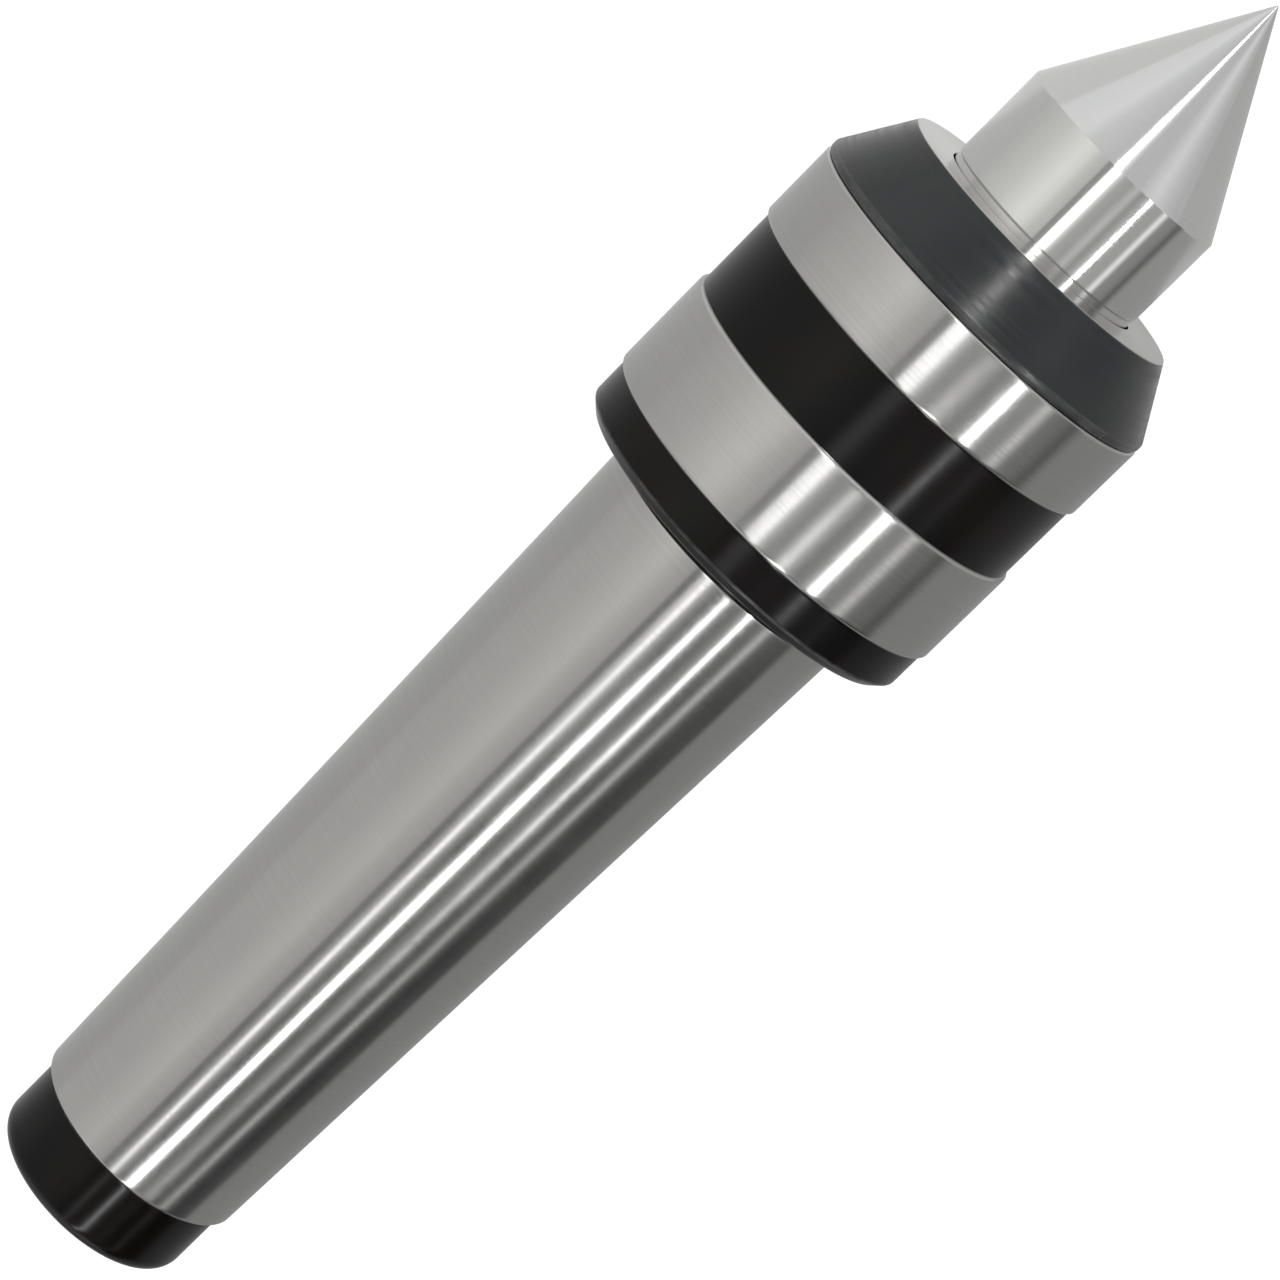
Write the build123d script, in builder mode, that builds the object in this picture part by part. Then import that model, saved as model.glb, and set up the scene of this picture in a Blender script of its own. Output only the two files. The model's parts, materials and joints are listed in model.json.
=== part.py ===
from build123d import *
from math import degrees, radians, tan
import os

os.makedirs("parts", exist_ok=True)

# A live centre for a lathe tailstock, turned round the X axis. The point looks along +X, and the
# origin is the centre of the gauge plane of the Morse taper. All lengths are in millimetres.

# ---- driving dimensions -------------------------------------------------------------------------

# Morse taper No. 4
gauge_diameter = 31.267
taper_rate = 0.05194          # change of diameter for each millimetre along the axis
gauge_setback = 6.5           # from the rear face of the head to the gauge plane
taper_length = 95.9           # from the rear face of the head to the small end of the ground taper
taper_end_chamfer = 0.5
tail_diameter = 25.0
tail_length = 9.3
tail_corner_radius = 2.2
undercut_width = 1.2
undercut_depth = 0.35

# Head, from its rear face forwards
head_diameter = 44.5
band_depth = 0.4              # the black bands lie this much below the ground rings
rear_rim_length = 5.35
rear_rim_chamfer = 1.0
rear_ring_length = 11.95
band_length = 9.7
front_ring_length = 9.1
ring_chamfer = 0.25

# Front cap
cap_face_diameter = 35.3
cap_length = 8.4              # what stands in front of the head
cap_land_length = 0.9
cap_rim_step = 0.06           # the cap's rim lies this far under the head's ring
cap_skirt_length = 10.4       # what screws into the head
cap_pilot_length = 1.2
cap_bore_clearance = 0.10     # round the point
cap_bore_chamfer = 0.1
thread_height = 0.5           # mean thread surface over the front bearing seat
thread_clearance = 0.05
pilot_clearance = 0.2
thread_relief_length = 1.5

# Point and spindle
point_diameter = 25.0
point_angle = 60.0
point_length = 11.85          # cylinder between the cap and the cone
tip_flat_diameter = 0.2
relief_front = 0.9            # shallow groove, from this far in front of the cap
relief_rear = 2.0             # to this far inside it
relief_depth = 0.1
spindle_end_chamfer = 0.8
spindle_end_gap = 2.5         # from the spindle's rear end to the bottom of the bore

# Front bearing, a 61904 size ball bearing
front_bore = 20.0
front_outer = 37.0
front_width = 9.0
front_ball_diameter = 4.762
front_ball_count = 11
front_shoulder_offset = 1.65  # from the balls' pitch circle to the shoulders of the rings

# Thrust bearing, a 51103 size ball bearing
thrust_bore = 17.0
thrust_outer = 30.0
thrust_height = 9.0
thrust_ball_diameter = 4.762
thrust_ball_count = 12
thrust_washer_thickness = 2.9
thrust_shim_thickness = 1.0
thrust_clearance = 0.5        # each washer clears the part that it turns against

# Rear bearing, an HK1516 size drawn-cup needle bearing
needle_bore = 15.0
needle_section = 3.0          # radial height of the bearing
needle_width = 16.0
needle_depth = 20.0           # gauge plane to the middle of the bearing
needle_count = 17
needle_cup_wall = 1.0
needle_lip_thickness = 0.8

# Fits and details that the bearings share
running_clearance = 0.02      # between a rolling element and its track
groove_over_ball = 0.12       # groove radius over ball radius
pocket_clearance = 0.1
cage_clearance = 0.6
bearing_chamfer = 0.3

# Circlip behind the front bearing
circlip_thickness = 1.2
circlip_groove_width = 1.3
circlip_groove_depth = 0.5
circlip_radial_width = 2.6
circlip_lug_reach = 3.9
circlip_lug_radius = 2.1
circlip_hole_diameter = 1.8
circlip_land = 0.9            # spindle left behind the groove

# Seals
lip_seal_height = 3.5         # radial space between the point and the seal's seat
lip_seal_width = 4.0
lip_seal_wall = 1.2
lip_clearance = 0.03
o_ring_section = 1.5
o_ring_groove_ratio = 1.35     # groove width over the ring's section
o_ring_squeeze = 0.04         # kept as clearance, shared between the two sides
bearing_seal_thickness = 0.7
bearing_seal_recess = 0.25

# Centre holes that the spindle and the shank were ground on
centre_pilot_diameter = 3.15
centre_mouth_diameter = 6.7
centre_hole_angle = 60.0
drill_angle = 118.0            # drill points at the ends of the blind holes
centre_pilot_depth = 6.0

# ---- stations along the axis --------------------------------------------------------------------

x_shoulder = gauge_setback
x_taper_end = x_shoulder - taper_length
x_tail = x_taper_end - tail_length
x_rear_ring = x_shoulder + rear_rim_length
x_band = x_rear_ring + rear_ring_length
x_front_ring = x_band + band_length
x_head = x_front_ring + front_ring_length
x_cap = x_head + cap_length
x_cone = x_cap + point_length
x_front_bearing = x_head - cap_skirt_length
x_circlip = x_front_bearing - front_width
x_circlip_groove_end = x_circlip - circlip_groove_width
x_thrust = x_circlip_groove_end - circlip_land
x_thrust_rear = x_thrust - thrust_height
x_thrust_seat = x_thrust_rear - thrust_shim_thickness
x_needle_middle = -needle_depth
x_spindle_end = x_needle_middle - needle_width / 2 - spindle_end_chamfer
x_bore_end = x_spindle_end - spindle_end_gap

head_radius = head_diameter / 2
point_radius = point_diameter / 2
tip_flat_radius = tip_flat_diameter / 2
x_tip = x_cone + (point_radius - tip_flat_radius) / tan(radians(point_angle / 2))


def taper_radius(x):
    """Radius of the Morse taper at a station."""
    return (gauge_diameter + taper_rate * x) / 2


# ---- shank and head, one steel forging ----------------------------------------------------------

band_radius = head_radius - band_depth
shoulder_radius = taper_radius(x_shoulder)
undercut_radius = shoulder_radius - undercut_depth
tail_radius = tail_diameter / 2
thread_radius = front_outer / 2 + thread_height
o_ring_bore_radius = thread_radius + thread_height
o_ring_groove_width = o_ring_groove_ratio * o_ring_section
x_o_ring = x_head - o_ring_groove_width / 2
x_thread_front = x_head - o_ring_groove_width - thread_height
x_thread_rear = x_front_bearing + cap_pilot_length
needle_seat_radius = needle_bore / 2 + needle_section
circlip_space_radius = thrust_outer / 2 + thrust_clearance
x_thrust_bore = x_thrust_rear + thrust_washer_thickness + thrust_clearance

with BuildPart() as shank_body:
    with BuildSketch(Plane.XZ) as shank_section:
        with BuildLine():
            outline = Polyline(
                (x_tail, 0),
                (x_tail, tail_radius - tail_corner_radius),
            )
            corner = RadiusArc(
                outline @ 1,
                (x_tail + tail_corner_radius, tail_radius),
                tail_corner_radius,
            )
            Polyline(
                corner @ 1,
                (x_taper_end, tail_radius),
                (x_taper_end, taper_radius(x_taper_end) - taper_end_chamfer),
                (x_taper_end + taper_end_chamfer, taper_radius(x_taper_end + taper_end_chamfer)),
                (x_shoulder - undercut_width - undercut_depth,
                 taper_radius(x_shoulder - undercut_width - undercut_depth)),
                (x_shoulder - undercut_width, undercut_radius),
                (x_shoulder, undercut_radius),
                (x_shoulder, band_radius - rear_rim_chamfer),
                (x_shoulder + rear_rim_chamfer, band_radius),
                (x_rear_ring, band_radius),
                (x_rear_ring, head_radius - ring_chamfer),
                (x_rear_ring + ring_chamfer, head_radius),
                (x_band - ring_chamfer, head_radius),
                (x_band, head_radius - ring_chamfer),
                (x_band, band_radius),
                (x_front_ring, band_radius),
                (x_front_ring, head_radius - ring_chamfer),
                (x_front_ring + ring_chamfer, head_radius),
                (x_head - ring_chamfer, head_radius),
                (x_head, head_radius - ring_chamfer),
                (x_head, 0),
                (x_tail, 0),
            )
        make_face()
    revolve(axis=Axis.X)

    # stepped bore for the cap, the three bearings and the spindle
    with BuildSketch(Plane.XZ) as bore_section:
        with BuildLine():
            Polyline(
                (x_head, 0),
                (x_head, o_ring_bore_radius),
                (x_thread_front, o_ring_bore_radius),
                (x_thread_front, thread_radius),
                (x_thread_rear + thread_relief_length, thread_radius),
                (x_thread_rear + thread_relief_length, o_ring_bore_radius),
                (x_thread_rear, o_ring_bore_radius),
                (x_thread_rear, front_outer / 2),
                (x_circlip, front_outer / 2),
                (x_circlip, circlip_space_radius),
                (x_thrust_bore, circlip_space_radius),
                (x_thrust_bore, thrust_outer / 2),
                (x_thrust_seat, thrust_outer / 2),
                (x_thrust_seat, needle_seat_radius),
                (x_bore_end, needle_seat_radius),
                (x_bore_end - needle_seat_radius / tan(radians(drill_angle / 2)), 0),
                close=True,
            )
        make_face()
    revolve(axis=Axis.X, mode=Mode.SUBTRACT)

    # centre hole in the end of the tail
    with BuildSketch(Plane.XZ) as tail_centre_section:
        with BuildLine():
            cone_half_angle = radians(centre_hole_angle / 2)
            cone_depth = (centre_mouth_diameter - centre_pilot_diameter) / 2 / tan(cone_half_angle)
            pilot_radius = centre_pilot_diameter / 2
            Polyline(
                (x_tail, 0),
                (x_tail, centre_mouth_diameter / 2),
                (x_tail + cone_depth, pilot_radius),
                (x_tail + centre_pilot_depth, pilot_radius),
                (x_tail + centre_pilot_depth + pilot_radius / tan(radians(drill_angle / 2)), 0),
                close=True,
            )
        make_face()
    revolve(axis=Axis.X, mode=Mode.SUBTRACT)
shank_body.part.label = "shank_body"
export_step(shank_body.part, "parts/shank_body.step")

# ---- front cap, screwed into the head -----------------------------------------------------------

cap_bore_radius = point_radius + cap_bore_clearance
cap_thread_radius = thread_radius - thread_clearance
cap_pilot_radius = front_outer / 2 - pilot_clearance
lip_seat_radius = point_radius + lip_seal_height
o_ring_groove_radius = o_ring_bore_radius - o_ring_section
x_lip_front = x_head + lip_seal_width / 2
x_lip_rear = x_lip_front - lip_seal_width

with BuildPart() as front_cap:
    with BuildSketch(Plane.XZ) as cap_section:
        with BuildLine():
            Polyline(
                (x_cap, cap_bore_radius + cap_bore_chamfer),
                (x_cap, cap_face_diameter / 2),
                (x_head + cap_land_length, head_radius - cap_rim_step),
                (x_head + ring_chamfer, head_radius - cap_rim_step),
                (x_head, head_radius - cap_rim_step - ring_chamfer),
                (x_head, o_ring_groove_radius),
                (x_head - o_ring_groove_width, o_ring_groove_radius),
                (x_head - o_ring_groove_width, cap_thread_radius),
                (x_thread_rear, cap_thread_radius),
                (x_thread_rear, cap_pilot_radius),
                (x_front_bearing, cap_pilot_radius),
                (x_front_bearing, lip_seat_radius),
                (x_lip_front, lip_seat_radius),
                (x_lip_front, cap_bore_radius),
                (x_cap - cap_bore_chamfer, cap_bore_radius),
                close=True,
            )
        make_face()
    revolve(axis=Axis.X)
front_cap.part.label = "front_cap"
export_step(front_cap.part, "parts/front_cap.step")

# ---- O-ring under the cap's flange --------------------------------------------------------------

with BuildPart() as cap_o_ring:
    with BuildSketch(Plane.XZ) as o_ring_circle:
        with Locations((x_o_ring, o_ring_groove_radius + o_ring_section / 2)):
            Circle((o_ring_section - o_ring_squeeze) / 2)
    revolve(axis=Axis.X)
cap_o_ring.part.label = "cap_o_ring"
export_step(cap_o_ring.part, "parts/cap_o_ring.step")

# ---- lip seal pressed into the cap, its lip round the point's cylinder --------------------------

lip_radius = point_radius + lip_clearance
lip_root_radius = lip_seat_radius - lip_seal_wall

with BuildPart() as point_seal:
    with BuildSketch(Plane.XZ) as seal_section:
        with BuildLine():
            Polyline(
                (x_lip_rear, lip_seat_radius),
                (x_lip_front, lip_seat_radius),
                (x_lip_front, lip_root_radius),
                (x_lip_rear + lip_seal_wall, lip_root_radius),
                (x_lip_rear + 1.5 * lip_seal_wall, lip_radius + lip_seal_wall),
                (x_lip_front - 0.5 * lip_seal_wall, lip_radius + 0.25 * lip_seal_wall),
                (x_lip_front - 0.5 * lip_seal_wall, lip_radius),
                (x_lip_front - 0.75 * lip_seal_wall, lip_radius),
                (x_lip_rear, lip_radius + 0.75 * lip_seal_wall),
                close=True,
            )
        make_face()
    revolve(axis=Axis.X)
point_seal.part.label = "point_seal"
export_step(point_seal.part, "parts/point_seal.step")

# ---- hardened spindle with the 60 degree point --------------------------------------------------

front_journal_radius = front_bore / 2
thrust_journal_radius = thrust_bore / 2
needle_journal_radius = needle_bore / 2
relief_radius = point_radius - relief_depth
groove_radius_circlip = front_journal_radius - circlip_groove_depth

with BuildPart() as point_spindle:
    with BuildSketch(Plane.XZ) as spindle_section:
        with BuildLine():
            Polyline(
                (x_tip, 0),
                (x_tip, tip_flat_radius),
                (x_cone, point_radius),
                (x_cap + relief_front, point_radius),
                (x_cap + relief_front - relief_depth, relief_radius),
                (x_cap - relief_rear + relief_depth, relief_radius),
                (x_cap - relief_rear, point_radius),
                (x_front_bearing, point_radius),
                (x_front_bearing, front_journal_radius),
                (x_circlip, front_journal_radius),
                (x_circlip, groove_radius_circlip),
                (x_circlip_groove_end, groove_radius_circlip),
                (x_circlip_groove_end, front_journal_radius),
                (x_thrust, front_journal_radius),
                (x_thrust, thrust_journal_radius),
                (x_thrust_seat, thrust_journal_radius),
                (x_thrust_seat, needle_journal_radius),
                (x_spindle_end + spindle_end_chamfer, needle_journal_radius),
                (x_spindle_end, needle_journal_radius - spindle_end_chamfer),
                (x_spindle_end, 0),
                close=True,
            )
        make_face()
    revolve(axis=Axis.X)

    # centre hole in the spindle's rear end
    with BuildSketch(Plane.XZ) as spindle_centre_section:
        with BuildLine():
            Polyline(
                (x_spindle_end, 0),
                (x_spindle_end, centre_mouth_diameter / 2),
                (x_spindle_end + cone_depth, pilot_radius),
                (x_spindle_end + centre_pilot_depth, pilot_radius),
                (x_spindle_end + centre_pilot_depth + pilot_radius / tan(radians(drill_angle / 2)), 0),
                close=True,
            )
        make_face()
    revolve(axis=Axis.X, mode=Mode.SUBTRACT)
point_spindle.part.label = "point_spindle"
export_step(point_spindle.part, "parts/point_spindle.step")

# ---- front ball bearing -------------------------------------------------------------------------

x_front_middle = x_front_bearing - front_width / 2
front_pitch_radius = (front_bore + front_outer) / 4
front_ball_radius = front_ball_diameter / 2
front_groove_radius = front_ball_radius + groove_over_ball
front_track_outer = front_pitch_radius + front_ball_radius + running_clearance
front_track_inner = front_pitch_radius - front_ball_radius - running_clearance
outer_shoulder_radius = front_pitch_radius + front_shoulder_offset
inner_shoulder_radius = front_pitch_radius - front_shoulder_offset
seal_step_radius = (front_outer / 2 + outer_shoulder_radius) / 2
seal_space = bearing_seal_thickness + bearing_seal_recess

with BuildPart() as front_outer_ring:
    with BuildSketch(Plane.XZ) as outer_ring_section:
        with Locations((x_front_middle, (front_outer / 2 + outer_shoulder_radius) / 2)):
            Rectangle(front_width, front_outer / 2 - outer_shoulder_radius)
        chamfer(
            outer_ring_section.vertices().group_by(Axis.Z)[-1],
            bearing_chamfer,
        )
        # seats for the two seals
        for side in (-1, 1):
            with Locations((x_front_middle + side * (front_width - seal_space) / 2,
                            (seal_step_radius + outer_shoulder_radius) / 2)):
                Rectangle(seal_space, seal_step_radius - outer_shoulder_radius,
                          mode=Mode.SUBTRACT)
        with Locations((x_front_middle, front_track_outer - front_groove_radius)):
            Circle(front_groove_radius, mode=Mode.SUBTRACT)
    revolve(axis=Axis.X)
front_outer_ring.part.label = "front_bearing_outer_ring"
export_step(front_outer_ring.part, "parts/front_bearing_outer_ring.step")

with BuildPart() as front_inner_ring:
    with BuildSketch(Plane.XZ) as inner_ring_section:
        with Locations((x_front_middle, (front_bore / 2 + inner_shoulder_radius) / 2)):
            Rectangle(front_width, inner_shoulder_radius - front_bore / 2)
        chamfer(inner_ring_section.vertices().group_by(Axis.Z)[0], bearing_chamfer)
        with Locations((x_front_middle, front_track_inner + front_groove_radius)):
            Circle(front_groove_radius, mode=Mode.SUBTRACT)
    revolve(axis=Axis.X)
front_inner_ring.part.label = "front_bearing_inner_ring"
export_step(front_inner_ring.part, "parts/front_bearing_inner_ring.step")

with BuildPart(Plane.YZ.offset(x_front_middle)) as front_balls:
    with PolarLocations(front_pitch_radius, front_ball_count):
        Sphere(front_ball_radius)
front_balls.part.label = "front_bearing_balls"
export_step(front_balls.part, "parts/front_bearing_balls.step")

front_cage_inner = inner_shoulder_radius + cage_clearance
front_cage_outer = outer_shoulder_radius - cage_clearance
front_pocket_radius = front_ball_radius + pocket_clearance
front_cage_width = front_width - 2 * seal_space - 2 * running_clearance - pocket_clearance

with BuildPart(Plane.YZ.offset(x_front_middle)) as front_cage:
    with BuildSketch(Plane.XZ) as cage_section:
        with Locations((x_front_middle, (front_cage_inner + front_cage_outer) / 2)):
            Rectangle(front_cage_width, front_cage_outer - front_cage_inner)
    revolve(axis=Axis.X)
    # pockets drilled from the outside towards the axis
    with PolarLocations(front_pitch_radius, front_ball_count):
        Cylinder(front_pocket_radius, front_ball_diameter, rotation=(0, 90, 0),
                 mode=Mode.SUBTRACT)
front_cage.part.label = "front_bearing_cage"
export_step(front_cage.part, "parts/front_bearing_cage.step")


def bearing_seal(side):
    """Flat rubber-faced seal seated in the outer ring, on the front (+1) or rear (-1) side."""
    middle = x_front_middle + side * (front_width / 2 - bearing_seal_recess
                                      - bearing_seal_thickness / 2)
    inner = inner_shoulder_radius + lip_clearance
    with BuildPart() as seal:
        with BuildSketch(Plane.XZ):
            with Locations((middle, (inner + seal_step_radius) / 2)):
                Rectangle(bearing_seal_thickness, seal_step_radius - inner)
        revolve(axis=Axis.X)
    return seal


for seal_name, seal_side in (("front_bearing_seal_front", 1), ("front_bearing_seal_rear", -1)):
    flat_seal = bearing_seal(seal_side)
    flat_seal.part.label = seal_name
    export_step(flat_seal.part, f"parts/{seal_name}.step")

# ---- circlip that holds the front bearing on the spindle ----------------------------------------

circlip_outer_radius = groove_radius_circlip + circlip_radial_width
circlip_lug_centre = groove_radius_circlip + circlip_lug_reach - circlip_lug_radius
circlip_gap = 2.0
lug_angle = degrees((circlip_gap / 2 + circlip_lug_radius) / circlip_lug_centre)

with BuildPart() as circlip:
    with BuildSketch(Plane.YZ.offset(x_circlip - circlip_thickness)) as circlip_outline:
        Circle(circlip_outer_radius)
        with PolarLocations(circlip_lug_centre, 2, start_angle=90 - lug_angle,
                            angular_range=4 * lug_angle):
            Circle(circlip_lug_radius)
        Circle(groove_radius_circlip, mode=Mode.SUBTRACT)
        with PolarLocations(circlip_lug_centre, 2, start_angle=90 - lug_angle,
                            angular_range=4 * lug_angle):
            Circle(circlip_hole_diameter / 2, mode=Mode.SUBTRACT)
        with Locations((0, circlip_outer_radius)):
            Rectangle(circlip_gap, 2 * circlip_lug_reach + circlip_lug_radius, mode=Mode.SUBTRACT)
    extrude(amount=circlip_thickness)
circlip.part.label = "bearing_circlip"
export_step(circlip.part, "parts/bearing_circlip.step")

# ---- thrust ball bearing ------------------------------------------------------------------------

x_thrust_middle = x_thrust - thrust_height / 2
thrust_pitch_radius = (thrust_bore + thrust_outer) / 4
thrust_ball_radius = thrust_ball_diameter / 2
thrust_groove_radius = thrust_ball_radius + groove_over_ball
thrust_track = thrust_ball_radius + running_clearance


def thrust_washer(name, x_outer_face, side, inner, outer):
    """Grooved washer; side is +1 for the one in front of the balls and -1 for the one behind."""
    groove_offset = side * (thrust_track - thrust_groove_radius)
    with BuildPart() as washer:
        with BuildSketch(Plane.XZ) as washer_section:
            with Locations((x_outer_face - side * thrust_washer_thickness / 2,
                            (inner + outer) / 2)):
                Rectangle(thrust_washer_thickness, outer - inner)
            outer_face = washer_section.vertices().group_by(Axis.X)[-1 if side > 0 else 0]
            chamfer(outer_face, bearing_chamfer)
            with Locations((x_thrust_middle + groove_offset, thrust_pitch_radius)):
                Circle(thrust_groove_radius, mode=Mode.SUBTRACT)
        revolve(axis=Axis.X)
    washer.part.label = name
    export_step(washer.part, f"parts/{name}.step")


thrust_washer("thrust_shaft_washer", x_thrust, 1, thrust_bore / 2,
              thrust_outer / 2 - thrust_clearance)
thrust_washer("thrust_housing_washer", x_thrust_rear, -1, thrust_bore / 2 + thrust_clearance,
              thrust_outer / 2)

with BuildPart(Plane.YZ.offset(x_thrust_middle)) as thrust_balls:
    with PolarLocations(thrust_pitch_radius, thrust_ball_count):
        Sphere(thrust_ball_radius)
thrust_balls.part.label = "thrust_balls"
export_step(thrust_balls.part, "parts/thrust_balls.step")

thrust_cage_thickness = thrust_height - 2 * thrust_washer_thickness - 2 * cage_clearance
thrust_cage_inner = thrust_bore / 2 + cage_clearance
thrust_cage_outer = thrust_outer / 2 - cage_clearance

with BuildPart(Plane.YZ.offset(x_thrust_middle)) as thrust_cage:
    with BuildSketch(Plane.XZ) as thrust_cage_section:
        with Locations((x_thrust_middle, (thrust_cage_inner + thrust_cage_outer) / 2)):
            Rectangle(thrust_cage_thickness, thrust_cage_outer - thrust_cage_inner)
    revolve(axis=Axis.X)
    with PolarLocations(thrust_pitch_radius, thrust_ball_count):
        Cylinder(thrust_ball_radius + pocket_clearance, thrust_ball_diameter,
                 mode=Mode.SUBTRACT)
thrust_cage.part.label = "thrust_cage"
export_step(thrust_cage.part, "parts/thrust_cage.step")

# shim that was ground to set the spindle's end play
with BuildPart() as thrust_shim:
    with BuildSketch(Plane.XZ) as shim_section:
        with Locations((x_thrust_seat + thrust_shim_thickness / 2,
                        (thrust_outer / 2 + thrust_bore / 2 + thrust_clearance) / 2)):
            Rectangle(thrust_shim_thickness, (thrust_outer - thrust_bore) / 2 - thrust_clearance)
    revolve(axis=Axis.X)
thrust_shim.part.label = "thrust_shim"
export_step(thrust_shim.part, "parts/thrust_shim.step")

# ---- rear needle bearing ------------------------------------------------------------------------

needle_track_radius = needle_seat_radius - needle_cup_wall
needle_pitch_radius = (needle_track_radius + needle_journal_radius) / 2
needle_radius = (needle_track_radius - needle_journal_radius) / 2 - running_clearance
needle_cage_width = needle_width - 2 * needle_lip_thickness - 2 * pocket_clearance
needle_pocket_length = needle_cage_width - 2 * needle_lip_thickness
needle_length = needle_pocket_length - 2 * pocket_clearance
needle_lip_radius = needle_journal_radius + cage_clearance / 2

with BuildPart() as needle_cup:
    with BuildSketch(Plane.XZ) as cup_section:
        with Locations((x_needle_middle, (needle_seat_radius + needle_lip_radius) / 2)):
            Rectangle(needle_width, needle_seat_radius - needle_lip_radius)
        chamfer(cup_section.vertices().group_by(Axis.Z)[-1], bearing_chamfer)
        with Locations((x_needle_middle, (needle_track_radius + needle_lip_radius) / 2)):
            Rectangle(needle_width - 2 * needle_lip_thickness,
                      needle_track_radius - needle_lip_radius, mode=Mode.SUBTRACT)
    revolve(axis=Axis.X)
needle_cup.part.label = "needle_cup"
export_step(needle_cup.part, "parts/needle_cup.step")

with BuildPart(Plane.YZ.offset(x_needle_middle)) as needle_rollers:
    with PolarLocations(needle_pitch_radius, needle_count):
        Cylinder(needle_radius, needle_length)
    chamfer(needle_rollers.edges().filter_by(GeomType.CIRCLE), bearing_chamfer)
needle_rollers.part.label = "needle_rollers"
export_step(needle_rollers.part, "parts/needle_rollers.step")

needle_cage_inner = needle_journal_radius + cage_clearance / 2
needle_cage_outer = needle_track_radius - cage_clearance / 2

with BuildPart(Plane.YZ.offset(x_needle_middle)) as needle_cage:
    with BuildSketch(Plane.XZ) as needle_cage_section:
        with Locations((x_needle_middle, (needle_cage_inner + needle_cage_outer) / 2)):
            Rectangle(needle_cage_width, needle_cage_outer - needle_cage_inner)
    revolve(axis=Axis.X)
    with PolarLocations(needle_pitch_radius, needle_count):
        Box(2 * needle_radius, 2 * (needle_radius + pocket_clearance), needle_pocket_length,
            mode=Mode.SUBTRACT)
needle_cage.part.label = "needle_cage"
export_step(needle_cage.part, "parts/needle_cage.step")
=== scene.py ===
import json
from math import atan2, cos, degrees, hypot, pi, radians, sin

import bpy
from mathutils import Matrix, Vector

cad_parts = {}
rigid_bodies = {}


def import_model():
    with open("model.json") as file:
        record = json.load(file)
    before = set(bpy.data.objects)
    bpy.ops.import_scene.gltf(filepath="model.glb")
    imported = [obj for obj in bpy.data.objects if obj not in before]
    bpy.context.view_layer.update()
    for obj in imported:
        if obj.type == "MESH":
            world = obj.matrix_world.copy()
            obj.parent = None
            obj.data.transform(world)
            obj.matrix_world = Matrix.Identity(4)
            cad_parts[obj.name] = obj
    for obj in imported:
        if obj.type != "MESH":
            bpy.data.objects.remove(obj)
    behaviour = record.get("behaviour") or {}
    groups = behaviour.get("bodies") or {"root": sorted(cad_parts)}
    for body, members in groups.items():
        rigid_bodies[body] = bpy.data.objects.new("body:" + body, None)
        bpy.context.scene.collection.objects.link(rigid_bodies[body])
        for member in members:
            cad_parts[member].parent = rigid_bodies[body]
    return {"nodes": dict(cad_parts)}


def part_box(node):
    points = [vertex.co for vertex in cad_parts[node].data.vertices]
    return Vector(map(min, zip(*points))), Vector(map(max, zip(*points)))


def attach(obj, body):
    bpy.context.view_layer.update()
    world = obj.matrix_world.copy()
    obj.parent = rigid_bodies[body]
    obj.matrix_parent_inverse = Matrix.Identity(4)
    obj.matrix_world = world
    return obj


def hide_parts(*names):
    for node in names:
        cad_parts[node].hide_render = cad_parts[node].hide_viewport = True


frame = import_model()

# The startup objects go before the box is taken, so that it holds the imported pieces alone.
for spare in [o for o in bpy.context.scene.objects if o.name in ("Cube", "Light", "Camera")]:
    bpy.data.objects.remove(spare)
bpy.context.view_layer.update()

# ---- Head and Morse taper shank ------------------------------------------------------------------
# One forging of tool steel, turned, blackened, hardened and then ground between centres. The
# grinding wheel touched only the two rings of the head and the taper, so these are bright, and
# the band, the rear rim and the relieved tail kept their black oxide.

MM = 0.001
on_axis = 0.001 * MM    # a smaller radius is a point on the axis


def turned_outline(node):
    """Points (along, radius) of a turned piece of the frame, in order over its surface."""
    mesh = frame["nodes"][node].data
    same = 0.02 * MM
    straight = radians(0.5)
    stations, station_of = [], []
    for vertex in mesh.vertices:
        point = Vector((vertex.co.x, hypot(vertex.co.y, vertex.co.z)))
        found = next((i for i, known in enumerate(stations) if (known - point).length < same), None)
        if found is None:
            found = len(stations)
            stations.append(point)
        station_of.append(found)
    neighbours = {i: set() for i in range(len(stations))}
    for edge in mesh.edges:
        a, b = (station_of[v] for v in edge.vertices)
        if a != b:
            neighbours[a].add(b)
            neighbours[b].add(a)
    ends = [i for i, near in neighbours.items() if len(near) == 1]
    here = ends[0] if ends else 0
    order = [here]
    while True:
        onward = [i for i in sorted(neighbours[here]) if i not in order]
        if not onward:
            break
        here = onward[0]
        order.append(here)
    line = [stations[i] for i in order]
    closed = not ends

    def bends(i):
        """Whether the outline ends or turns at a point."""
        if not closed and i in (0, len(line) - 1):
            return True
        before, after = line[i] - line[i - 1], line[(i + 1) % len(line)] - line[i]
        return before.angle(after) > straight

    return [line[i] for i in range(len(line)) if bends(i)], closed


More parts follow.
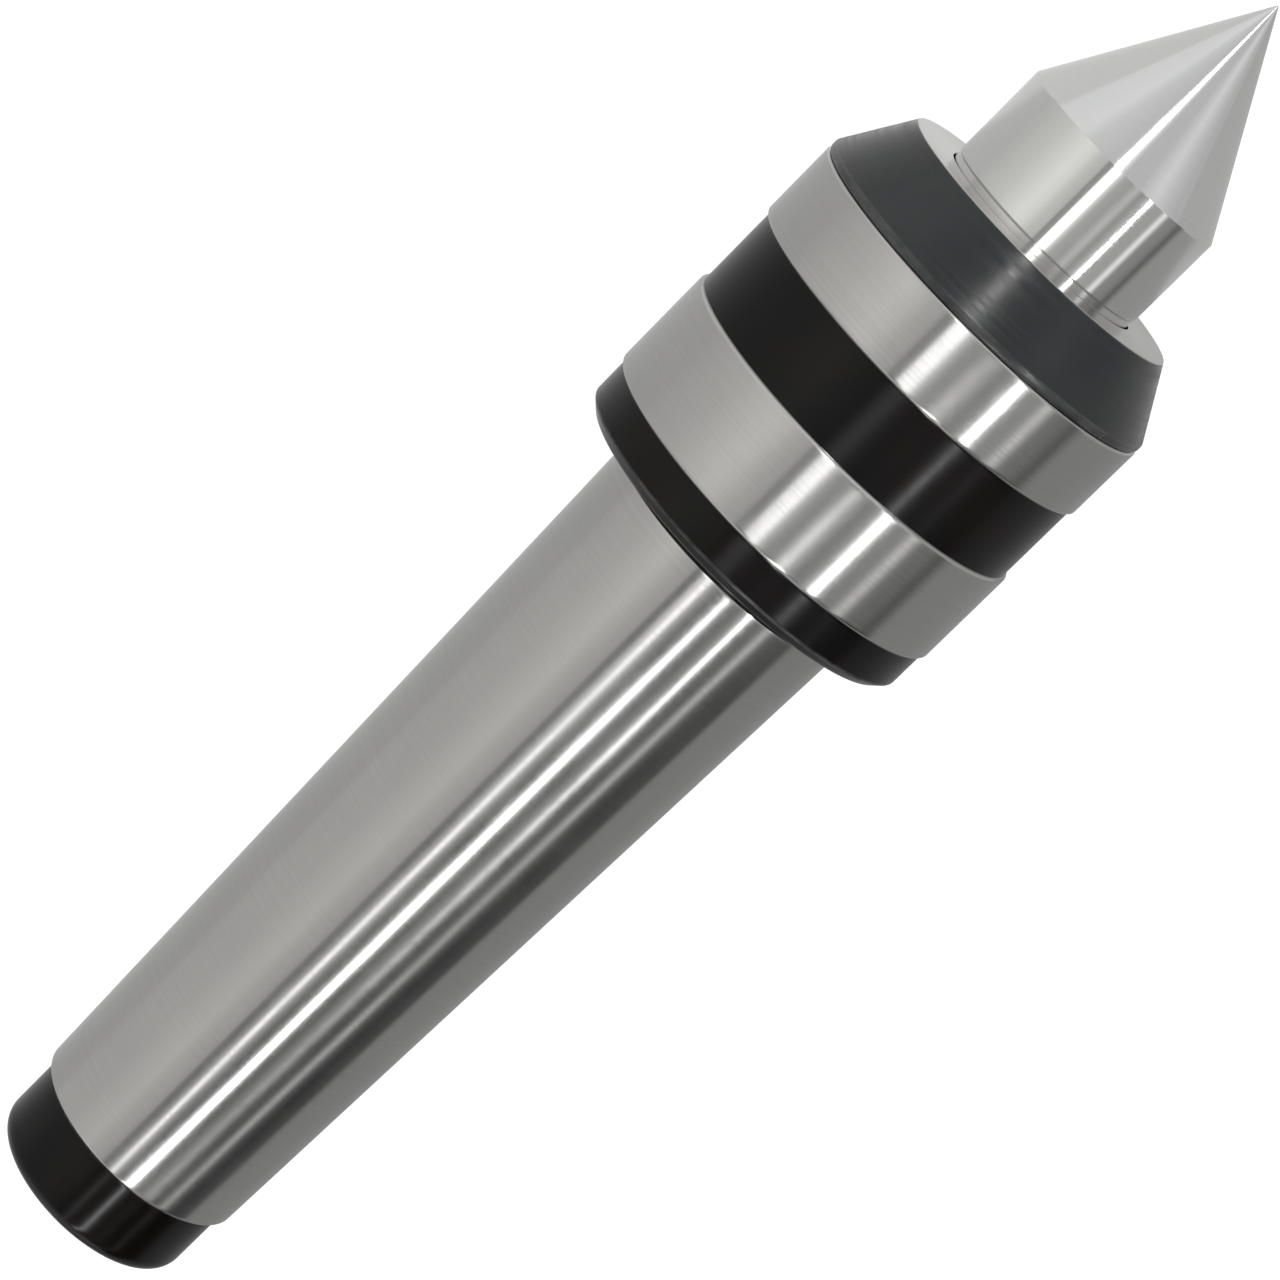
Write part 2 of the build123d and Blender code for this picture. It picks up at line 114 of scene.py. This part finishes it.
def eased_outline(outline, closed, ease):
    """Breaks each corner of an outline as a stone does, and keeps the faces between them true."""
    sharp = 15          # degrees; a corner that turns less is left as it is
    most_cut = 0.25     # of the shorter line beside a corner
    crown = 0.35        # how far a broken corner stands out towards the sharp one
    guard = 3 * ease    # strip beside a corner that takes up its shading
    count = len(outline)
    steps = range(count) if closed else range(count - 1)
    area = sum(outline[i].x * outline[(i + 1) % count].y - outline[(i + 1) % count].x * outline[i].y
               for i in range(count))

    def corner(i):
        """Turn at a point in degrees, above zero where the corner stands out of the metal."""
        if not closed and i in (0, count - 1):
            return 0.0
        before = outline[i] - outline[i - 1]
        after = outline[(i + 1) % count] - outline[i]
        turn = degrees(atan2(before.x * after.y - before.y * after.x, before.dot(after)))
        return turn if area > 0 else -turn

    def cut(i):
        """How much of each line the broken corner takes."""
        if abs(corner(i)) < sharp:
            return 0.0
        lines = (outline[i] - outline[i - 1]).length, (outline[(i + 1) % count] - outline[i]).length
        return min(ease, most_cut * min(lines))

    made = []
    for i in steps:
        a, b = outline[i], outline[(i + 1) % count]
        line = (b - a).normalized()
        start, stop = a + line * cut(i), b - line * cut((i + 1) % count)
        wear = 1.0 if corner(i) > sharp else 0.0
        if cut(i):
            chord = (made[-1][0] + start) / 2 if made else start
            made.append((chord.lerp(a, crown), wear))
        if cut(i) or not made:
            made.append((start, wear))
        if (stop - start).length > 4 * guard:
            made += [(start + line * guard, 0.0), (stop - line * guard, 0.0)]
        made.append((stop, 1.0 if corner((i + 1) % count) > sharp else 0.0))
    if closed and not cut(0):
        made.pop()
    return made


def turned_piece(name, node, finishes, choose, ease=0.08 * MM, around=192):
    """Fine mesh of a turned piece; choose(along, radius) gives the number of a face's finish."""
    outline, closed = turned_outline(node)
    rows = eased_outline(outline, closed, ease)
    points, faces, worn, rings, chosen = [], [], [], [], []
    for place, wear in rows:
        if place.y < on_axis:
            rings.append([len(points)] * around)
            points.append((place.x, 0, 0))
            worn.append(wear)
            continue
        rings.append(range(len(points), len(points) + around))
        for k in range(around):
            angle = 2 * pi * k / around
            points.append((place.x, place.y * cos(angle), place.y * sin(angle)))
            worn.append(wear)
    spans = range(len(rings)) if closed else range(len(rings) - 1)
    for i in spans:
        low, high = rings[i], rings[(i + 1) % len(rings)]
        middle = (rows[i][0] + rows[(i + 1) % len(rows)][0]) / 2
        finish = choose(middle.x, middle.y)
        for k in range(around):
            n = (k + 1) % around
            faces.append(list(dict.fromkeys((low[k], low[n], high[n], high[k]))))
            chosen.append(finish)
    if not closed:
        for ring, place in ((rings[0], rows[0][0]), (rings[-1], rows[-1][0])):
            if place.y > on_axis:
                faces.append(list(ring))
                chosen.append(choose(place.x, 0))
    mesh = bpy.data.meshes.new(name)
    mesh.from_pydata(points, [], faces)
    mesh.attributes.new("edge", "FLOAT", "POINT").data.foreach_set("value", worn)
    mesh.polygons.foreach_set("use_smooth", [True] * len(faces))
    for finish in finishes:
        mesh.materials.append(finish)
    mesh.polygons.foreach_set("material_index", chosen)
    made = bpy.data.objects.new(name, mesh)
    bpy.context.scene.collection.objects.link(made)
    bpy.context.view_layer.objects.active = made
    made.select_set(True)
    bpy.ops.object.mode_set(mode="EDIT")
    bpy.ops.mesh.select_all(action="SELECT")
    bpy.ops.mesh.normals_make_consistent(inside=False)
    bpy.ops.object.mode_set(mode="OBJECT")
    made.select_set(False)
    return made


class Nodes:
    """Short way to write a node tree: nodes by type, links by socket."""

    def __init__(self, tree):
        self.tree = tree

    def add(self, kind, **settings):
        """New node of a kind, with its settings."""
        node = self.tree.nodes.new("ShaderNode" + kind)
        for key, value in settings.items():
            setattr(node, key, value)
        return node

    def link(self, source, target):
        """Joins an output to an input."""
        self.tree.links.new(source, target)

    def math(self, operation, first, second=0.0, clamp=False):
        """Sum, product and the like of sockets or numbers."""
        node = self.add("Math", operation=operation, use_clamp=clamp)
        for socket, value in zip(node.inputs, (first, second)):
            if isinstance(value, (int, float)):
                socket.default_value = value
            else:
                self.link(value, socket)
        return node.outputs[0]

    def ramp(self, value, low, high, start=0.0, end=1.0):
        """Straight ramp from low to high as value goes from start to end."""
        node = self.add("MapRange")
        self.link(value, node.inputs["Value"])
        for name, number in (("From Min", start), ("From Max", end), ("To Min", low),
                             ("To Max", high)):
            node.inputs[name].default_value = number
        return node.outputs["Result"]

    def noise(self, vector, scale, detail=2.0, roughness=0.5):
        """Cloudy noise, from about 0.3 to 0.7."""
        node = self.add("TexNoise")
        self.link(vector, node.inputs["Vector"])
        node.inputs["Scale"].default_value = scale
        node.inputs["Detail"].default_value = detail
        node.inputs["Roughness"].default_value = roughness
        return node.outputs["Fac"]

    def mix(self, factor, first, second):
        """Colour between two sockets or colours."""
        node = self.add("Mix", data_type="RGBA")
        for socket, value in ((node.inputs[0], factor), (node.inputs[6], first),
                              (node.inputs[7], second)):
            if isinstance(value, bpy.types.NodeSocket):
                self.link(value, socket)
            elif isinstance(value, (int, float)):
                socket.default_value = value
            else:
                socket.default_value = (*value, 1.0)
        return node.outputs[2]


def new_group(name, inputs, outputs):
    """Empty node group; inputs are (name, value) pairs and outputs are names."""
    tree = bpy.data.node_groups.new(name, "ShaderNodeTree")
    for label, value in inputs:
        socket = tree.interface.new_socket(label, in_out="INPUT", socket_type="NodeSocketFloat")
        socket.default_value = value
    for label in outputs:
        tree.interface.new_socket(label, in_out="OUTPUT", socket_type="NodeSocketFloat")
    nodes = Nodes(tree)
    return tree, nodes, tree.nodes.new("NodeGroupInput"), tree.nodes.new("NodeGroupOutput")


def stretched(nodes, along, across):
    """Object position with the turning axis scaled apart from the two across it."""
    place = nodes.add("TexCoord")
    scale = nodes.add("Mapping")
    nodes.link(place.outputs["Object"], scale.inputs["Vector"])
    scale.inputs["Scale"].default_value = (along, across, across)
    return scale.outputs["Vector"]


def lathe_lines():
    """Lines round the axis that a wheel or a tool leaves, Pitch millimetres apart.

    Height, times Depth, is for bumps, and Streak is for tone.
    """
    tree, nodes, entry, leave = new_group("lathe_lines", [("Pitch", 1.0), ("Depth", 1.0)],
                                          ["Height", "Streak"])
    fine_place = stretched(nodes, 1.0, 0.004)
    pitch = nodes.add("VectorMath", operation="SCALE")
    nodes.link(fine_place, pitch.inputs[0])
    nodes.link(nodes.math("DIVIDE", 1 / MM, entry.outputs["Pitch"]), pitch.inputs["Scale"])
    fine = nodes.noise(pitch.outputs[0], 1.0, 4.0, 0.6)
    broad = nodes.noise(pitch.outputs[0], 0.22, 2.0, 0.5)
    height = nodes.math("ADD", nodes.math("MULTIPLY", fine, 0.6), nodes.math("MULTIPLY", broad, 0.4))
    nodes.link(nodes.math("MULTIPLY", height, entry.outputs["Depth"]), leave.inputs["Height"])
    nodes.link(nodes.ramp(fine, 0.0, 1.0, 0.3, 0.7), leave.inputs["Streak"])
    return tree


def form_waves():
    """Slow waves of a surface that is nearly but not quite true, longer round the axis."""
    tree, nodes, _, leave = new_group("form_waves", [], ["Height"])
    long_waves = nodes.noise(stretched(nodes, 45.0, 110.0), 1.0, 2.0, 0.45)
    nodes.link(long_waves, leave.inputs["Height"])
    return tree


def handling():
    """Film is where the oil of fingers and rags lies, and Specks is fine grit."""
    tree, nodes, _, leave = new_group("handling", [], ["Film", "Specks"])
    cloud = nodes.noise(stretched(nodes, 60.0, 95.0), 1.0, 4.0, 0.6)
    specks = nodes.noise(stretched(nodes, 900.0, 900.0), 1.0, 2.0, 0.5)
    nodes.link(nodes.ramp(cloud, 0.0, 1.0, 0.38, 0.68), leave.inputs["Film"])
    nodes.link(nodes.ramp(specks, 0.0, 1.0, 0.62, 0.74), leave.inputs["Specks"])
    return tree


def edge_wear():
    """Metal rubbed bare on outer corners, broken up so that it is never an even line."""
    tree, nodes, entry, leave = new_group("edge_wear", [("Amount", 1.0)], ["Bare"])
    edge = nodes.add("Attribute", attribute_name="edge")
    patches = nodes.noise(stretched(nodes, 500.0, 260.0), 1.0, 3.0, 0.6)
    worn = nodes.math("MULTIPLY", edge.outputs["Fac"], nodes.ramp(patches, 0.15, 1.0, 0.35, 0.65))
    nodes.link(nodes.math("MULTIPLY", worn, entry.outputs["Amount"], clamp=True),
               leave.inputs["Bare"])
    return tree


lines_group = lathe_lines()
waves_group = form_waves()
handling_group = handling()
wear_group = edge_wear()


def placed(nodes, group, **values):
    """Puts a node group into a material with its values."""
    node = nodes.add("Group")
    node.node_tree = group
    for name, value in values.items():
        node.inputs[name].default_value = value
    return node.outputs


def bumped(nodes, heights):
    """Chains bump nodes; heights are (socket, distance in metres) pairs, coarsest first."""
    normal = None
    for height, distance in heights:
        bump = nodes.add("Bump")
        bump.inputs["Strength"].default_value = 1.0
        bump.inputs["Distance"].default_value = distance
        nodes.link(height, bump.inputs["Height"])
        if normal:
            nodes.link(normal, bump.inputs["Normal"])
        normal = bump.outputs["Normal"]
    return normal


def new_material(name):
    """Empty material with its Principled shader."""
    made = bpy.data.materials.new(name)
    made.use_nodes = True
    made.node_tree.nodes.clear()
    nodes = Nodes(made.node_tree)
    shader = nodes.add("BsdfPrincipled")
    output = nodes.add("OutputMaterial")
    nodes.link(shader.outputs[0], output.inputs["Surface"])
    return made, nodes, shader


def bright_steel(name, bright, dull, smooth, pitch, depth, waves, anisotropy=0.85):
    """Ground or polished steel with its grinding lines running round the axis.

    The pitch of the lines is in millimetres; their depth and the waves' height are in metres.
    """
    made, nodes, shader = new_material(name)
    lines = placed(nodes, lines_group, Pitch=pitch, Depth=1.0)
    marks = placed(nodes, handling_group)
    wave = placed(nodes, waves_group)["Height"]
    colour = nodes.mix(nodes.math("MULTIPLY", lines["Streak"], 0.25), bright, dull)
    filmed = nodes.mix(nodes.math("MULTIPLY", marks["Film"], 0.25), colour, dull)
    nodes.link(filmed, shader.inputs["Base Color"])
    shader.inputs["Metallic"].default_value = 1.0
    rough = nodes.math("ADD", nodes.ramp(marks["Film"], smooth, smooth * 1.35),
                       nodes.ramp(lines["Streak"], 0.0, smooth * 0.35))
    nodes.link(rough, shader.inputs["Roughness"])
    shader.inputs["Anisotropic"].default_value = anisotropy
    shader.inputs["Anisotropic Rotation"].default_value = 0.25
    tangent = nodes.add("Tangent", direction_type="RADIAL", axis="X")
    nodes.link(tangent.outputs[0], shader.inputs["Tangent"])
    normal = bumped(nodes, [(wave, waves), (lines["Height"], depth)])
    nodes.link(normal, shader.inputs["Normal"])
    return made


def black_oxide(name, dark, warm, smooth, pitch, depth, wear, level, ridges=0.25):
    """Turned steel under a thin conversion coat of black oxide, oiled, with bare corners."""
    bare_colour = (0.42, 0.42, 0.42)
    ridge_colour = tuple(min(1.0, c * 1.9) for c in dark)
    made, nodes, shader = new_material(name)
    lines = placed(nodes, lines_group, Pitch=pitch, Depth=1.0)
    marks = placed(nodes, handling_group)
    bare = placed(nodes, wear_group, Amount=wear)["Bare"]
    coat = nodes.mix(marks["Film"], dark, warm)
    lined = nodes.mix(nodes.math("MULTIPLY", lines["Streak"], 0.35), coat, ridge_colour)
    worn = nodes.mix(bare, lined, bare_colour)
    nodes.link(worn, shader.inputs["Base Color"])
    nodes.link(nodes.ramp(bare, 0.0, 1.0), shader.inputs["Metallic"])
    rough = nodes.math("ADD", nodes.ramp(marks["Film"], smooth * 1.15, smooth * 0.9),
                       nodes.ramp(lines["Streak"], 0.0, smooth * ridges))
    nodes.link(rough, shader.inputs["Roughness"])
    shader.inputs["Specular IOR Level"].default_value = level
    nodes.link(bumped(nodes, [(lines["Height"], depth)]), shader.inputs["Normal"])
    return made


ground_steel = bright_steel("ground_steel", (0.53, 0.525, 0.515), (0.43, 0.43, 0.425),
                            smooth=0.15, pitch=0.35, depth=0.0007 * MM, waves=0.02 * MM)
shank_oxide = black_oxide("shank_black_oxide", (0.0008, 0.0008, 0.0008), (0.0052, 0.0032, 0.0024),
                          smooth=0.16, pitch=0.4, depth=0.0012 * MM, wear=0.22, level=0.21)
bored_steel = bright_steel("bored_steel", (0.45, 0.44, 0.42), (0.30, 0.29, 0.28),
                           smooth=0.28, pitch=0.3, depth=0.004 * MM, waves=0.01 * MM)

shank_outline, _ = turned_outline("shank_body")
ring_radius = max(p.y for p in shank_outline)
ring_chamfer = 0.3 * MM
ring_slack = 0.05 * MM
ring_edges = sorted(p.x for p in shank_outline if p.y > ring_radius - ring_slack)
head_wall = 1.5 * MM        # what lies further in than this from the rings is bored
rim_drop = 2 * MM           # the head's rear rim is less than this under the rings
head_rear = min(p.x for p in shank_outline if p.y > ring_radius - rim_drop)
shoulder = 0.1 * MM         # either side of the head's rear face, which is black

tail_end = min(p.x for p in shank_outline)
tail_least = 5 * MM
tail_radius = 12.55 * MM    # just over the relieved tail's own
taper_end = min(p.x for p in shank_outline
                if p.x > tail_end + tail_least and p.y > tail_radius)
unground = 0.4 * MM         # black strip that the wheel leaves at the taper's small end
widest_bore = 11 * MM       # in the shank


def shank_finish(along, radius):
    """0 ground, 1 black oxide, 2 bored."""
    if along > head_rear + shoulder:
        if radius < ring_radius - head_wall:
            return 2
        rear_start, rear_stop, front_start, front_stop = ring_edges
        on_rear = rear_start - ring_chamfer < along < rear_stop + ring_chamfer
        on_front = front_start - ring_chamfer < along < front_stop + ring_chamfer
        return 0 if on_rear or on_front else 1
    if along < taper_end + unground:
        return 1
    if radius < widest_bore:
        return 2
    return 1 if along > head_rear - shoulder else 0


shank = turned_piece("shank_turned", "shank_body", [ground_steel, shank_oxide, bored_steel],
                     shank_finish)
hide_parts("shank_body")
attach(shank, "housing")

# ---- Front cap -----------------------------------------------------------------------------------
# The nut that closes the head and holds the front bearing. It was turned and blackened, and its
# flat front face was then faced off bright.

cap_oxide = black_oxide("cap_black_oxide", (0.0045, 0.0058, 0.0066), (0.0125, 0.0132, 0.0140),
                        smooth=0.13, pitch=0.9, depth=0.010 * MM, wear=0.12, level=0.56,
                        ridges=1.4)
faced_steel = bright_steel("faced_steel", (0.62, 0.61, 0.59), (0.52, 0.51, 0.50),
                           smooth=0.13, pitch=0.3, depth=0.001 * MM, waves=0.002 * MM)
cap_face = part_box("front_cap")[1].x
faced_depth = 0.12 * MM


def cap_finish(along, radius):
    """0 black oxide, 1 faced bright."""
    return 1 if along > cap_face - faced_depth else 0


cap = turned_piece("front_cap_turned", "front_cap", [cap_oxide, faced_steel], cap_finish)
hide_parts("front_cap")
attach(cap, "housing")

# ---- Point and spindle ---------------------------------------------------------------------------
# Hardened tool steel, fine ground all over and polished on the point and its cylinder.

polished_steel = bright_steel("polished_steel", (0.73, 0.73, 0.72), (0.66, 0.66, 0.65),
                              smooth=0.09, pitch=0.25, depth=0.0008 * MM, waves=0.006 * MM)
spindle = turned_piece("point_spindle_turned", "point_spindle", [polished_steel],
                       lambda along, radius: 0, ease=0.04 * MM)
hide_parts("point_spindle")
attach(spindle, "spindle")

# ---- Bearings, circlip and seals -----------------------------------------------------------------
# Bought-in pieces that the cap closes in: lapped rings and balls, pressed cages, a brass cage,
# rubber seals and a blackened circlip.

lapped_steel = bright_steel("lapped_steel", (0.64, 0.64, 0.645), (0.56, 0.56, 0.565),
                            smooth=0.09, pitch=0.3, depth=0.001 * MM, waves=0.004 * MM)
pressed_steel = bright_steel("pressed_steel", (0.50, 0.50, 0.495), (0.40, 0.40, 0.395),
                             smooth=0.26, pitch=0.6, depth=0.004 * MM, waves=0.02 * MM)
cage_brass = bright_steel("cage_brass", (0.74, 0.54, 0.23), (0.60, 0.42, 0.17),
                          smooth=0.22, pitch=0.4, depth=0.004 * MM, waves=0.01 * MM)
circlip_oxide = black_oxide("circlip_black_oxide", (0.03, 0.03, 0.032), (0.036, 0.034, 0.032),
                            smooth=0.36, pitch=0.5, depth=0.006 * MM, wear=0.0, level=0.5)


def nitrile_rubber():
    """Moulded rubber with a faint flow pattern and a wipe of grease."""
    made, nodes, shader = new_material("nitrile_rubber")
    marks = placed(nodes, handling_group)
    nodes.link(nodes.mix(marks["Film"], (0.018, 0.018, 0.019), (0.032, 0.031, 0.030)),
               shader.inputs["Base Color"])
    nodes.link(nodes.ramp(marks["Film"], 0.62, 0.42), shader.inputs["Roughness"])
    nodes.link(bumped(nodes, [(marks["Specks"], 0.01 * MM)]), shader.inputs["Normal"])
    return made


rubber = nitrile_rubber()
inner_finishes = {
    "cap_o_ring": rubber, "point_seal": rubber,
    "front_bearing_seal_front": rubber, "front_bearing_seal_rear": rubber,
    "front_bearing_outer_ring": lapped_steel, "front_bearing_inner_ring": lapped_steel,
    "front_bearing_balls": lapped_steel, "front_bearing_cage": cage_brass,
    "bearing_circlip": circlip_oxide,
    "thrust_shaft_washer": lapped_steel, "thrust_housing_washer": lapped_steel,
    "thrust_balls": lapped_steel, "thrust_cage": pressed_steel, "thrust_shim": pressed_steel,
    "needle_cup": pressed_steel, "needle_cage": pressed_steel, "needle_rollers": lapped_steel,
}
for node_name, finish in inner_finishes.items():
    piece = frame["nodes"][node_name]
    for part_slot in piece.material_slots:
        part_slot.link = "OBJECT"
        part_slot.material = finish

# ---- Camera --------------------------------------------------------------------------------------
# Looks down on the centre, leaning towards the point, turned so that the point is up and right.

lens_mm = 119.1
camera_distance = 0.4477
camera_lean = radians(14.72)
camera_turn = radians(44.8)
aim = Vector((-6.1 * MM, 0, 0))
sideways, upwards = -1.93 * MM, -1.95 * MM

camera_data = bpy.data.cameras.new("studio_camera")
camera_data.lens = lens_mm
camera_data.sensor_width = 36.0
camera = bpy.data.objects.new("studio_camera", camera_data)
facing = Matrix.Rotation(camera_lean, 4, "Y") @ Matrix.Rotation(-camera_turn, 4, "Z")
camera.matrix_world = Matrix.Translation(aim) @ facing @ Matrix.Translation(
    (sideways, upwards, camera_distance))
bpy.context.scene.collection.objects.link(camera)
bpy.context.scene.camera = camera

# ---- Studio --------------------------------------------------------------------------------------
# A pale floor below, and a tunnel of soft panels along the axis. Metal shows the panels as long
# bands. Angles are about the axis from straight up, and positive on the +Y side.

tunnel_radius = 0.75
floor_drop = 0.085
rear_end = -1.3
lamp_end = -0.27
rear_split = -0.19
front_split = 0.42
front_end = 1.7
rear_stretch = (rear_end, rear_split)
middle_stretch = (rear_split, front_split)
front_stretch = (front_split, front_end)
lamp_stretch = (rear_end, lamp_end)
past_lamp_stretch = (lamp_end, rear_split)
panel_step = 4      # degrees, at most, between a panel's rows of points


def panel_glow():
    """Glow whose level is painted on the panel."""
    made = bpy.data.materials.new("panel_glow")
    made.use_nodes = True
    made.node_tree.nodes.clear()
    nodes = Nodes(made.node_tree)
    painted = nodes.add("Attribute", attribute_name="level")
    glow = nodes.add("Emission")
    nodes.link(painted.outputs["Color"], glow.inputs["Color"])
    nodes.link(glow.outputs[0], nodes.add("OutputMaterial").inputs["Surface"])
    return made


panel_material = panel_glow()


def staged(name, points, faces, levels, tint=(1.0, 1.0, 1.0)):
    """Glowing card of the studio that the camera itself doesn't see."""
    mesh = bpy.data.meshes.new(name)
    mesh.from_pydata(points, [], faces)
    mesh.materials.append(panel_material)
    paint = mesh.attributes.new("level", "FLOAT_COLOR", "POINT")
    for painted, level in zip(paint.data, levels):
        painted.color = (*(level * t for t in tint), 1.0)
    made = bpy.data.objects.new(name, mesh)
    made.visible_camera = False
    bpy.context.scene.collection.objects.link(made)
    return made


def panel(name, stretch, marks, tint=(1.0, 1.0, 1.0)):
    """Curved panel along the axis; marks are (degrees, level) pairs that it blends between."""
    points, levels = [], []
    for (first, low), (last, high) in zip(marks, marks[1:]):
        steps = max(1, round(abs(last - first) / panel_step))
        for k in range(steps + (last == marks[-1][0])):
            angle = radians(first + (last - first) * k / steps)
            levels += [low + (high - low) * k / steps] * 2
            points += [(end, tunnel_radius * sin(angle), tunnel_radius * cos(angle))
                       for end in stretch]
    faces = [(k, k + 1, k + 3, k + 2) for k in range(0, len(points) - 2, 2)]
    return staged(name, points, faces, levels, tint)


warm, cool = (1.0, 0.995, 0.975), (0.985, 0.998, 1.0)
panel("soft_box_middle", middle_stretch, [(100, 0.55), (60, 0.72), (33, 0.95), (24, 0.86),
                                          (17, 0.68), (8, 0.60)], warm)
panel("soft_box_rear", rear_stretch, [(100, 0.63), (60, 0.64), (30, 0.76), (24, 0.66),
                                      (8, 0.56)], warm)
panel("soft_box_front", front_stretch, [(100, 0.84), (58, 0.90), (44, 0.76), (8, 0.64)], cool)
panel("flag_middle", middle_stretch, [(8, 0.34), (1.5, 0.34)])
panel("flag_rear", rear_stretch, [(8, 0.20), (1, 0.24)])
panel("flag_front", front_stretch, [(8, 0.60), (1.5, 0.60)])
panel("key_middle", middle_stretch, [(1.5, 2.2), (-7.5, 2.2)])
panel("key_rear", rear_stretch, [(-3, 2.1), (-7, 2.1)])
panel("key_front", front_stretch, [(1.5, 9.0), (-5.5, 9.0)])
panel("beside_key_rear", rear_stretch, [(1, 0.42), (-3, 0.42)])

panel("grey_middle", middle_stretch, [(-7.5, 0.95), (-13, 0.50), (-22, 0.42), (-29, 0.62),
                                      (-35, 0.36), (-42, 0.50), (-45.5, 0.50)])
panel("lamp_middle", middle_stretch, [(-45.5, 16.0), (-48, 16.0)])
panel("low_grey_middle", middle_stretch, [(-48, 0.44), (-62, 0.44), (-67, 1.1), (-72, 0.32),
                                          (-82, 0.27), (-89, 0.14), (-97, 0.36)])
panel("grey_rear", rear_stretch, [(-7, 0.62), (-12, 0.30), (-18, 0.08), (-24, 0.3)])
panel("lamp_rear", lamp_stretch, [(-24, 14.0), (-27.5, 14.0)])
panel("lamp_end", past_lamp_stretch, [(-24, 0.6), (-27.5, 0.6)])
panel("low_grey_rear", rear_stretch, [(-27.5, 0.7), (-32, 0.16), (-37, 0.18), (-47, 0.50),
                                      (-52, 0.14), (-61, 0.06), (-67, 0.88), (-71, 0.12),
                                      (-80, 0.04), (-89, 0.08), (-97, 0.06)])
panel("grey_front", front_stretch, [(-5.5, 1.1), (-14, 0.62), (-38, 0.62), (-60, 0.84),
                                    (-76, 0.66), (-90, 0.55), (-100, 0.60)], cool)

floor_size = 3.0
floor_white = (0.9, 0.9, 0.9, 1.0)
floor_glow = 1.2        # strength of the white that the camera and the metal see
floor_share = 0.72      # of that white, over the paper that takes the shadow
floor_mesh = bpy.data.meshes.new("floor")
floor_mesh.from_pydata([(x * floor_size, y * floor_size, -floor_drop)
                        for x, y in ((-1, -1), (1, -1), (1, 1), (-1, 1))], [], [(0, 1, 2, 3)])
floor = bpy.data.objects.new("floor", floor_mesh)
bpy.context.scene.collection.objects.link(floor)


def seen_rays(nodes):
    """1 for what the camera sees, straight or by way of metal or glass, and else 0."""
    path = nodes.add("LightPath")
    return nodes.math("MAXIMUM", path.outputs["Is Camera Ray"],
                      nodes.math("MAXIMUM", path.outputs["Is Glossy Ray"],
                                 path.outputs["Is Transmission Ray"]))


def floor_paper():
    """Matt white paper that reads as white and still takes a shadow."""
    made = bpy.data.materials.new("floor_paper")
    made.use_nodes = True
    made.node_tree.nodes.clear()
    nodes = Nodes(made.node_tree)
    paper = nodes.add("BsdfDiffuse")
    paper.inputs["Color"].default_value = floor_white
    light = nodes.add("Emission")
    light.inputs["Strength"].default_value = floor_glow
    blend = nodes.add("MixShader")
    nodes.link(nodes.math("MULTIPLY", seen_rays(nodes), floor_share), blend.inputs[0])
    nodes.link(paper.outputs[0], blend.inputs[1])
    nodes.link(light.outputs[0], blend.inputs[2])
    nodes.link(blend.outputs[0], nodes.add("OutputMaterial").inputs["Surface"])
    return made


floor_mesh.materials.append(floor_paper())


card_lift = 2 * MM      # over the floor
card_split = 0.045      # between the cards of the shank and those of the head


def under_card(name, ends, sides, level):
    """Grey card close over the floor; only the metal shows it."""
    height = card_lift - floor_drop
    points = [(x, y, height) for x in ends for y in sides]
    made = staged(name, points, [(0, 1, 3, 2)], [level] * 4)
    for ray in ("diffuse", "transmission", "volume_scatter", "shadow"):
        setattr(made, "visible_" + ray, False)


under_card("under_card_left", (rear_end, card_split), (0.0, tunnel_radius), 0.56)
under_card("under_card_right", (rear_end, card_split), (0.0, -tunnel_radius), 0.34)
under_card("under_card_front_left", (card_split, front_end), (0.0, tunnel_radius), 0.72)
under_card("under_card_front_right", (card_split, front_end), (0.0, -tunnel_radius), 0.50)

sky_on_object, sky_seen = 0.5, 1.0      # strengths of the white round the studio
world = bpy.data.worlds.new("studio")
bpy.context.scene.world = world
world.use_nodes = True
world.node_tree.nodes.clear()
sky = Nodes(world.node_tree)
sky_light = sky.add("Background")
sky_light.inputs["Color"].default_value = (1.0, 1.0, 1.0, 1.0)
sky.link(sky.ramp(seen_rays(sky), sky_on_object, sky_seen), sky_light.inputs["Strength"])
sky.link(sky_light.outputs[0], sky.add("OutputWorld").inputs["Surface"])

bpy.context.scene.view_settings.view_transform = "Standard"
